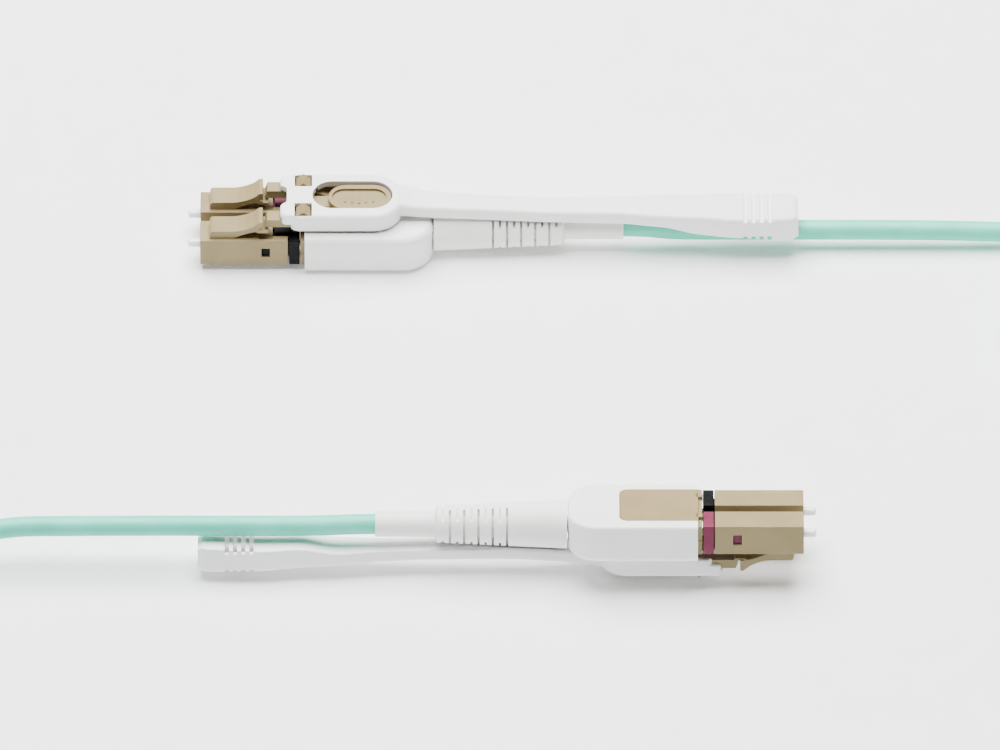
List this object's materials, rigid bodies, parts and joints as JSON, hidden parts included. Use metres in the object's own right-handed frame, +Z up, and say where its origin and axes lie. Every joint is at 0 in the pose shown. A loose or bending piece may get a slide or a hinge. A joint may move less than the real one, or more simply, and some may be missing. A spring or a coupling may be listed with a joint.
{
  "type": "fiber optic patch cord",
  "caption": "Duplex fibre optic patch cord: LC uniboot connectors with push-pull tabs and sprung latches, joined by a round aqua cable with its spare length coiled.",
  "frame": {"origin": "centre of the footprint of the two connectors, on the surface they lie on", "axes": "+X along the connectors, towards connector B's ferrules; +Y from connector B's row to connector A's; +Z up"},
  "size_m": [0.2001, 0.121, 0.0115],
  "materials": {
    "white_plastic": "smooth moulded white plastic, semi-gloss",
    "white_boot": "flexible white elastomer, satin",
    "beige_plastic": "smooth moulded beige plastic, satin",
    "black_plastic": "moulded black plastic, satin",
    "magenta_plastic": "moulded magenta plastic, satin",
    "ceramic": "polished white zirconia",
    "steel": "fine machined steel",
    "fibre_buffer": "tight buffer on the glass fibre",
    "aqua_jacket": "aqua cable jacket, satin",
    "tie_fabric": "black woven cable wrap"
  },
  "bodies": {
    "root": {"shell_a": "white_plastic", "body_top_a": "beige_plastic", "body_bottom_a": "beige_plastic", "boot_a": "white_boot", "crimp_body_a": "steel", "crimp_ring_a": "steel", "trigger_pin_a": "steel", "lc_housing_left_a": "beige_plastic", "core_left_a": "black_plastic", "spring_left_a": "steel", "fibre_left_a": "fibre_buffer", "lc_housing_right_a": "beige_plastic", "core_right_a": "magenta_plastic", "spring_right_a": "steel", "fibre_right_a": "fibre_buffer", "shell_b": "white_plastic", "body_top_b": "beige_plastic", "body_bottom_b": "beige_plastic", "boot_b": "white_boot", "crimp_body_b": "steel", "crimp_ring_b": "steel", "trigger_pin_b": "steel", "lc_housing_left_b": "beige_plastic", "core_left_b": "magenta_plastic", "spring_left_b": "steel", "fibre_left_b": "fibre_buffer", "lc_housing_right_b": "beige_plastic", "core_right_b": "black_plastic", "spring_right_b": "steel", "fibre_right_b": "fibre_buffer", "cord_tube_a": "aqua_jacket", "cord_coil": "aqua_jacket", "cord_tube_b": "aqua_jacket", "cord_tie": "tie_fabric"},
    "tab_a": {"pull_tab_a": "white_plastic"},
    "trigger_a": {"trigger_a": "beige_plastic"},
    "latch_left_a": {"latch_left_a": "beige_plastic"},
    "ferrule_left_a": {"ferrule_left_a": "ceramic", "flange_left_a": "steel"},
    "latch_right_a": {"latch_right_a": "beige_plastic"},
    "ferrule_right_a": {"ferrule_right_a": "ceramic", "flange_right_a": "steel"},
    "tab_b": {"pull_tab_b": "white_plastic"},
    "trigger_b": {"trigger_b": "beige_plastic"},
    "latch_left_b": {"latch_left_b": "beige_plastic"},
    "ferrule_left_b": {"ferrule_left_b": "ceramic", "flange_left_b": "steel"},
    "latch_right_b": {"latch_right_b": "beige_plastic"},
    "ferrule_right_b": {"ferrule_right_b": "ceramic", "flange_right_b": "steel"}
  },
  "joints": [
    {"name": "tab_slide_a", "type": "slide", "parent": "root", "child": "tab_a", "axis": [1, 0, 0], "range_m": [0, 0.0009], "stiffness_N_per_m": 4000},
    {"name": "trigger_hinge_a", "type": "hinge", "parent": "root", "child": "trigger_a", "pos_m": [-0.0182, 0.0339, 0.0068], "axis": [0, -1, 0], "range_deg": [0, 4.15]},
    {"name": "latch_left_flex_a", "type": "hinge", "parent": "root", "child": "latch_left_a", "pos_m": [-0.0383, 0.03078, 0.0061], "axis": [0, 1, 0], "range_deg": [0, 12.15]},
    {"name": "ferrule_left_float_a", "type": "slide", "parent": "root", "child": "ferrule_left_a", "axis": [1, 0, 0], "range_m": [0, 0.001], "stiffness_N_per_m": 1500, "springref_m": -0.002},
    {"name": "latch_right_flex_a", "type": "hinge", "parent": "root", "child": "latch_right_a", "pos_m": [-0.0383, 0.03703, 0.0061], "axis": [0, 1, 0], "range_deg": [0, 12.15]},
    {"name": "ferrule_right_float_a", "type": "slide", "parent": "root", "child": "ferrule_right_a", "axis": [1, 0, 0], "range_m": [0, 0.001], "stiffness_N_per_m": 1500, "springref_m": -0.002},
    {"name": "tab_slide_b", "type": "slide", "parent": "root", "child": "tab_b", "axis": [-1, 0, 0], "range_m": [0, 0.0009], "stiffness_N_per_m": 4000},
    {"name": "trigger_hinge_b", "type": "hinge", "parent": "root", "child": "trigger_b", "pos_m": [0.0182, -0.03433, 0.00401], "axis": [0, -0.9744, 0.225], "range_deg": [0, 4.15]},
    {"name": "latch_left_flex_b", "type": "hinge", "parent": "root", "child": "latch_left_b", "pos_m": [0.0383, -0.03722, 0.0054], "axis": [0, 0.9744, -0.225], "range_deg": [0, 12.15]},
    {"name": "ferrule_left_float_b", "type": "slide", "parent": "root", "child": "ferrule_left_b", "axis": [-1, 0, 0], "range_m": [0, 0.001], "stiffness_N_per_m": 1500, "springref_m": -0.002},
    {"name": "latch_right_flex_b", "type": "hinge", "parent": "root", "child": "latch_right_b", "pos_m": [0.0383, -0.03113, 0.00399], "axis": [0, 0.9744, -0.225], "range_deg": [0, 12.15]},
    {"name": "ferrule_right_float_b", "type": "slide", "parent": "root", "child": "ferrule_right_b", "axis": [-1, 0, 0], "range_m": [0, 0.001], "stiffness_N_per_m": 1500, "springref_m": -0.002}
  ],
  "couplings": [
    {"joint": "trigger_hinge_a", "follows": "tab_slide_a", "rad_per_m": 80},
    {"joint": "latch_left_flex_a", "follows": "tab_slide_a", "rad_per_m": 233},
    {"joint": "latch_right_flex_a", "follows": "tab_slide_a", "rad_per_m": 233},
    {"joint": "trigger_hinge_b", "follows": "tab_slide_b", "rad_per_m": 80},
    {"joint": "latch_left_flex_b", "follows": "tab_slide_b", "rad_per_m": 233},
    {"joint": "latch_right_flex_b", "follows": "tab_slide_b", "rad_per_m": 233}
  ]
}
